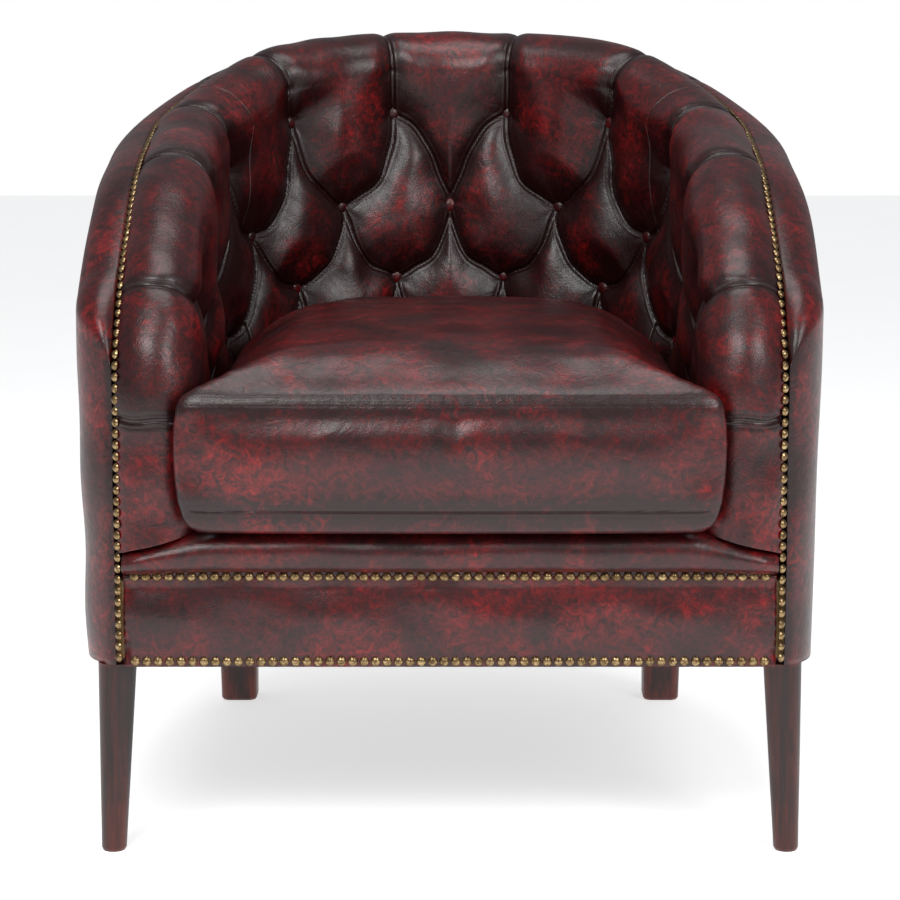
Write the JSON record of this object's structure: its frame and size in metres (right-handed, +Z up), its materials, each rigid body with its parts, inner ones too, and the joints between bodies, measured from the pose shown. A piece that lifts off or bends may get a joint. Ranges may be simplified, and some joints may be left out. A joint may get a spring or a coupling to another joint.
{
  "type": "chesterfield armchair",
  "caption": "Low tub-shaped armchair with a deep-buttoned inside, a rolled rim edged with close nailing, a loose seat cushion and tapered wooden legs.",
  "frame": {"origin": "on the floor, under the middle of the chair", "axes": "+Z up, +Y to the back of the chair, +X to the sitter's left"},
  "size_m": [0.7346, 0.7635, 0.7931],
  "materials": {
    "oxblood_leather": "semi-gloss antiqued hide",
    "aged_brass": "antiqued",
    "stained_wood": "satin mahogany stain",
    "foam": "open-cell foam",
    "steel": "plain steel",
    "webbing": "woven elastic webbing",
    "black_cloth": "non-woven cloth",
    "wadding": "polyester wadding",
    "frame_timber": "sawn beech"
  },
  "bodies": {
    "root": {"arm_post_left": "frame_timber", "arm_post_right": "frame_timber", "arm_rail_left": "frame_timber", "arm_rail_right": "frame_timber", "arm_stile_left": "frame_timber", "arm_stile_right": "frame_timber", "arm_tack_rail_left": "frame_timber", "arm_tack_rail_right": "frame_timber", "back_leg_left": "stained_wood", "back_leg_right": "stained_wood", "back_seat_rail": "frame_timber", "back_stile_left": "frame_timber", "back_stile_right": "frame_timber", "back_tack_rail": "frame_timber", "buttons": "oxblood_leather", "corner_blocks": "frame_timber", "crest_rail": "frame_timber", "deck_cloth": "black_cloth", "deck_pad": "wadding", "dust_cover": "black_cloth", "front_leg_left": "stained_wood", "front_leg_right": "stained_wood", "front_post_foot_left": "frame_timber", "front_post_foot_right": "frame_timber", "front_rail": "frame_timber", "front_rail_cover": "oxblood_leather", "front_rail_wadding": "wadding", "inside_webbing": "webbing", "leg_bolts": "steel", "nails_bottom_row": "aged_brass", "nails_left": "aged_brass", "nails_lip_row": "aged_brass", "nails_right": "aged_brass", "outside_arm_cover_left": "oxblood_leather", "outside_arm_cover_right": "oxblood_leather", "outside_back_cover": "oxblood_leather", "roll_cover_back": "oxblood_leather", "roll_cover_left": "oxblood_leather", "roll_cover_right": "oxblood_leather", "roll_foam_back": "foam", "roll_foam_left": "foam", "roll_foam_right": "foam", "seat_lip_cover": "oxblood_leather", "seat_lip_foam": "foam", "seat_springs": "steel", "side_rail_left": "frame_timber", "side_rail_right": "frame_timber", "spring_clips": "steel", "tufted_arm_left": "oxblood_leather", "tufted_arm_right": "oxblood_leather", "tufted_back": "oxblood_leather", "wall_foam_back": "foam", "wall_foam_left": "foam", "wall_foam_right": "foam"},
    "seat_cushion": {"cushion_top_panel": "oxblood_leather", "cushion_border": "oxblood_leather", "cushion_bottom_panel": "oxblood_leather", "cushion_foam": "foam"}
  },
  "joints": [
    {"name": "cushion_lift", "type": "slide", "parent": "root", "child": "seat_cushion", "axis": [0, 0, 1], "range_m": [0, 0.48]}
  ]
}
